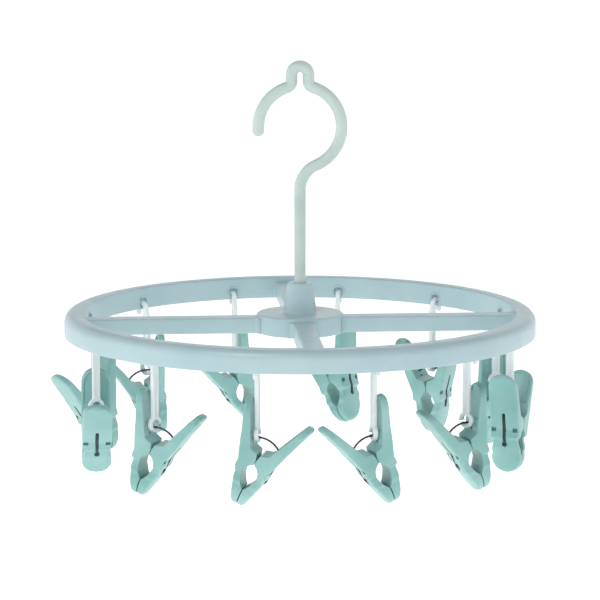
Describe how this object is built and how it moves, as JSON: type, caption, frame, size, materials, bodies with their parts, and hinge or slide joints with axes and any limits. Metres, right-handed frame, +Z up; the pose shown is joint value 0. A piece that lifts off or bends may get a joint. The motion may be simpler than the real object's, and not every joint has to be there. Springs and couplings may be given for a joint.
{
  "type": "clip drying hanger",
  "caption": "Round clip drying hanger: a spoked ring under a swivelling hook, with sprung clips hanging on swinging links.",
  "frame": {"origin": "where a rail touches the inside of the hook's crown", "axes": "+Z up along the stem's axis, the hook in the XZ plane with its mouth to -X, the spokes along X and Y"},
  "size_m": [0.3099, 0.3075, 0.2583],
  "materials": {
    "hook_plastic": "moulded polypropylene, soft satin",
    "ring_plastic": "moulded polypropylene, satin",
    "clip_plastic": "moulded polypropylene, satin",
    "link_plastic": "moulded white polypropylene",
    "spring_steel": "bent spring wire"
  },
  "bodies": {
    "hook": {"hook": "hook_plastic"},
    "frame": {"frame": "ring_plastic"},
    "link_01": {"link_01": "link_plastic"},
    "clip_01": {"jaw_a_01": "clip_plastic", "spring_01": "spring_steel"},
    "free_jaw_01": {"jaw_b_01": "clip_plastic"},
    "link_02": {"link_02": "link_plastic"},
    "clip_02": {"jaw_a_02": "clip_plastic", "spring_02": "spring_steel"},
    "free_jaw_02": {"jaw_b_02": "clip_plastic"},
    "link_03": {"link_03": "link_plastic"},
    "clip_03": {"jaw_a_03": "clip_plastic", "spring_03": "spring_steel"},
    "free_jaw_03": {"jaw_b_03": "clip_plastic"},
    "link_04": {"link_04": "link_plastic"},
    "clip_04": {"jaw_a_04": "clip_plastic", "spring_04": "spring_steel"},
    "free_jaw_04": {"jaw_b_04": "clip_plastic"},
    "link_05": {"link_05": "link_plastic"},
    "clip_05": {"jaw_a_05": "clip_plastic", "spring_05": "spring_steel"},
    "free_jaw_05": {"jaw_b_05": "clip_plastic"},
    "link_06": {"link_06": "link_plastic"},
    "clip_06": {"jaw_a_06": "clip_plastic", "spring_06": "spring_steel"},
    "free_jaw_06": {"jaw_b_06": "clip_plastic"},
    "link_07": {"link_07": "link_plastic"},
    "clip_07": {"jaw_a_07": "clip_plastic", "spring_07": "spring_steel"},
    "free_jaw_07": {"jaw_b_07": "clip_plastic"},
    "link_08": {"link_08": "link_plastic"},
    "clip_08": {"jaw_a_08": "clip_plastic", "spring_08": "spring_steel"},
    "free_jaw_08": {"jaw_b_08": "clip_plastic"},
    "link_09": {"link_09": "link_plastic"},
    "clip_09": {"jaw_a_09": "clip_plastic", "spring_09": "spring_steel"},
    "free_jaw_09": {"jaw_b_09": "clip_plastic"},
    "link_10": {"link_10": "link_plastic"},
    "clip_10": {"jaw_a_10": "clip_plastic", "spring_10": "spring_steel"},
    "free_jaw_10": {"jaw_b_10": "clip_plastic"},
    "link_11": {"link_11": "link_plastic"},
    "clip_11": {"jaw_a_11": "clip_plastic", "spring_11": "spring_steel"},
    "free_jaw_11": {"jaw_b_11": "clip_plastic"},
    "link_12": {"link_12": "link_plastic"},
    "clip_12": {"jaw_a_12": "clip_plastic", "spring_12": "spring_steel"},
    "free_jaw_12": {"jaw_b_12": "clip_plastic"}
  },
  "joints": [
    {"name": "hook_swivel", "type": "hinge", "parent": "hook", "child": "frame", "pos_m": [0, 0, -0.122], "axis": [0, 0, 1], "continuous": true},
    {"name": "link_swing_01", "type": "hinge", "parent": "frame", "child": "link_01", "pos_m": [-0.13408, -0.03593, -0.15295], "axis": [0.2588, -0.9659, 0], "range_deg": [0, 45]},
    {"name": "clip_rock_01", "type": "hinge", "parent": "link_01", "child": "clip_01", "pos_m": [-0.13051, -0.03497, -0.20996], "axis": [0.9998, 0.0175, 0], "range_deg": [-48, 0]},
    {"name": "jaw_open_01", "type": "hinge", "parent": "clip_01", "child": "free_jaw_01", "pos_m": [-0.13049, -0.0359, -0.20786], "axis": [-0.9998, -0.0175, 0], "range_deg": [0, 30], "stiffness_Nm_per_rad": 0.05, "springref_deg": -28.65, "deforming": ["spring_01"]},
    {"name": "link_swing_02", "type": "hinge", "parent": "frame", "child": "link_02", "pos_m": [-0.09815, -0.09815, -0.15295], "axis": [0.7071, -0.7071, 0], "range_deg": [0, 45]},
    {"name": "clip_rock_02", "type": "hinge", "parent": "link_02", "child": "clip_02", "pos_m": [-0.09554, -0.09554, -0.2099], "axis": [0.3907, 0.9205, 0], "range_deg": [-43, 0]},
    {"name": "jaw_open_02", "type": "hinge", "parent": "clip_02", "child": "free_jaw_02", "pos_m": [-0.09476, -0.09587, -0.20776], "axis": [-0.3907, -0.9205, 0], "range_deg": [0, 30], "stiffness_Nm_per_rad": 0.05, "springref_deg": -28.65, "deforming": ["spring_02"]},
    {"name": "link_swing_03", "type": "hinge", "parent": "frame", "child": "link_03", "pos_m": [-0.03593, -0.13408, -0.15295], "axis": [0.9659, -0.2588, 0], "range_deg": [0, 45]},
    {"name": "clip_rock_03", "type": "hinge", "parent": "link_03", "child": "clip_03", "pos_m": [-0.03497, -0.13051, -0.21], "axis": [0.2588, 0.9659, 0], "range_deg": [-51, 0]},
    {"name": "jaw_open_03", "type": "hinge", "parent": "clip_03", "child": "free_jaw_03", "pos_m": [-0.03401, -0.13076, -0.20792], "axis": [-0.2588, -0.9659, 0], "range_deg": [0, 30], "stiffness_Nm_per_rad": 0.05, "springref_deg": -28.65, "deforming": ["spring_03"]},
    {"name": "link_swing_04", "type": "hinge", "parent": "frame", "child": "link_04", "pos_m": [0.03593, -0.13408, -0.15295], "axis": [0.9659, 0.2588, 0], "range_deg": [0, 45]},
    {"name": "clip_rock_04", "type": "hinge", "parent": "link_04", "child": "clip_04", "pos_m": [0.03497, -0.13051, -0.21], "axis": [0.2588, -0.9659, 0], "range_deg": [-51, 0]},
    {"name": "jaw_open_04", "type": "hinge", "parent": "clip_04", "child": "free_jaw_04", "pos_m": [0.03401, -0.13076, -0.20792], "axis": [-0.2588, 0.9659, 0], "range_deg": [0, 30], "stiffness_Nm_per_rad": 0.05, "springref_deg": -28.65, "deforming": ["spring_04"]},
    {"name": "link_swing_05", "type": "hinge", "parent": "frame", "child": "link_05", "pos_m": [0.09815, -0.09815, -0.15295], "axis": [0.7071, 0.7071, 0], "range_deg": [0, 45]},
    {"name": "clip_rock_05", "type": "hinge", "parent": "link_05", "child": "clip_05", "pos_m": [0.09554, -0.09554, -0.20983], "axis": [0.309, -0.9511, 0], "range_deg": [-41, 0]},
    {"name": "jaw_open_05", "type": "hinge", "parent": "clip_05", "child": "free_jaw_05", "pos_m": [0.09477, -0.09579, -0.20767], "axis": [-0.309, 0.9511, 0], "range_deg": [0, 30], "stiffness_Nm_per_rad": 0.05, "springref_deg": -28.65, "deforming": ["spring_05"]},
    {"name": "link_swing_06", "type": "hinge", "parent": "frame", "child": "link_06", "pos_m": [0.13408, -0.03593, -0.15295], "axis": [0.2588, 0.9659, 0], "range_deg": [0, 45]},
    {"name": "clip_rock_06", "type": "hinge", "parent": "link_06", "child": "clip_06", "pos_m": [0.13051, -0.03497, -0.20998], "axis": [-0.9063, 0.4226, 0], "range_deg": [-27.5, 16.5]},
    {"name": "jaw_open_06", "type": "hinge", "parent": "clip_06", "child": "free_jaw_06", "pos_m": [0.1306, -0.03477, -0.20769], "axis": [0.9063, -0.4226, 0], "range_deg": [0, 30], "stiffness_Nm_per_rad": 0.05, "springref_deg": -28.65, "deforming": ["spring_06"]},
    {"name": "link_swing_07", "type": "hinge", "parent": "frame", "child": "link_07", "pos_m": [0.13408, 0.03593, -0.15295], "axis": [-0.2588, 0.9659, 0], "range_deg": [0, 45]},
    {"name": "clip_rock_07", "type": "hinge", "parent": "link_07", "child": "clip_07", "pos_m": [0.13051, 0.03497, -0.21], "axis": [0.9659, 0.2588, 0], "range_deg": [-51, 0]},
    {"name": "jaw_open_07", "type": "hinge", "parent": "clip_07", "child": "free_jaw_07", "pos_m": [0.13076, 0.03401, -0.20792], "axis": [-0.9659, -0.2588, 0], "range_deg": [0, 30], "stiffness_Nm_per_rad": 0.05, "springref_deg": -28.65, "deforming": ["spring_07"]},
    {"name": "link_swing_08", "type": "hinge", "parent": "frame", "child": "link_08", "pos_m": [0.09815, 0.09815, -0.15295], "axis": [-0.7071, 0.7071, 0], "range_deg": [0, 45]},
    {"name": "clip_rock_08", "type": "hinge", "parent": "link_08", "child": "clip_08", "pos_m": [0.09554, 0.09554, -0.20997], "axis": [-0.5446, -0.8387, 0], "range_deg": [-27, 17]},
    {"name": "jaw_open_08", "type": "hinge", "parent": "clip_08", "child": "free_jaw_08", "pos_m": [0.09537, 0.09565, -0.20768], "axis": [0.5446, 0.8387, 0], "range_deg": [0, 30], "stiffness_Nm_per_rad": 0.05, "springref_deg": -28.65, "deforming": ["spring_08"]},
    {"name": "link_swing_09", "type": "hinge", "parent": "frame", "child": "link_09", "pos_m": [0.03593, 0.13408, -0.15295], "axis": [-0.9659, 0.2588, 0], "range_deg": [0, 45]},
    {"name": "clip_rock_09", "type": "hinge", "parent": "link_09", "child": "clip_09", "pos_m": [0.03497, 0.13051, -0.20981], "axis": [-0.682, -0.7314, 0], "range_deg": [-41, 0]},
    {"name": "jaw_open_09", "type": "hinge", "parent": "clip_09", "child": "free_jaw_09", "pos_m": [0.03438, 0.13106, -0.20766], "axis": [0.682, 0.7314, 0], "range_deg": [0, 30], "stiffness_Nm_per_rad": 0.05, "springref_deg": -28.65, "deforming": ["spring_09"]},
    {"name": "link_swing_10", "type": "hinge", "parent": "frame", "child": "link_10", "pos_m": [-0.03593, 0.13408, -0.15295], "axis": [-0.9659, -0.2588, 0], "range_deg": [0, 45]},
    {"name": "clip_rock_10", "type": "hinge", "parent": "link_10", "child": "clip_10", "pos_m": [-0.03497, 0.13051, -0.21], "axis": [0.2588, -0.9659, 0], "range_deg": [-51, 0]},
    {"name": "jaw_open_10", "type": "hinge", "parent": "clip_10", "child": "free_jaw_10", "pos_m": [-0.03592, 0.13025, -0.20792], "axis": [-0.2588, 0.9659, 0], "range_deg": [0, 30], "stiffness_Nm_per_rad": 0.05, "springref_deg": -28.65, "deforming": ["spring_10"]},
    {"name": "link_swing_11", "type": "hinge", "parent": "frame", "child": "link_11", "pos_m": [-0.09815, 0.09815, -0.15295], "axis": [-0.7071, -0.7071, 0], "range_deg": [0, 45]},
    {"name": "clip_rock_11", "type": "hinge", "parent": "link_11", "child": "clip_11", "pos_m": [-0.09554, 0.09554, -0.20957], "axis": [0.1392, -0.9903, 0], "range_deg": [-36, 0]},
    {"name": "jaw_open_11", "type": "hinge", "parent": "clip_11", "child": "free_jaw_11", "pos_m": [-0.09624, 0.09544, -0.20738], "axis": [-0.1392, 0.9903, 0], "range_deg": [0, 30], "stiffness_Nm_per_rad": 0.05, "springref_deg": -28.65, "deforming": ["spring_11"]},
    {"name": "link_swing_12", "type": "hinge", "parent": "frame", "child": "link_12", "pos_m": [-0.13408, 0.03593, -0.15295], "axis": [-0.2588, -0.9659, 0], "range_deg": [0, 45]},
    {"name": "clip_rock_12", "type": "hinge", "parent": "link_12", "child": "clip_12", "pos_m": [-0.13051, 0.03497, -0.20943], "axis": [0.5736, -0.8192, 0], "range_deg": [-36, 0]},
    {"name": "jaw_open_12", "type": "hinge", "parent": "clip_12", "child": "free_jaw_12", "pos_m": [-0.13109, 0.03456, -0.20724], "axis": [-0.5736, 0.8192, 0], "range_deg": [0, 30], "stiffness_Nm_per_rad": 0.05, "springref_deg": -28.65, "deforming": ["spring_12"]}
  ]
}
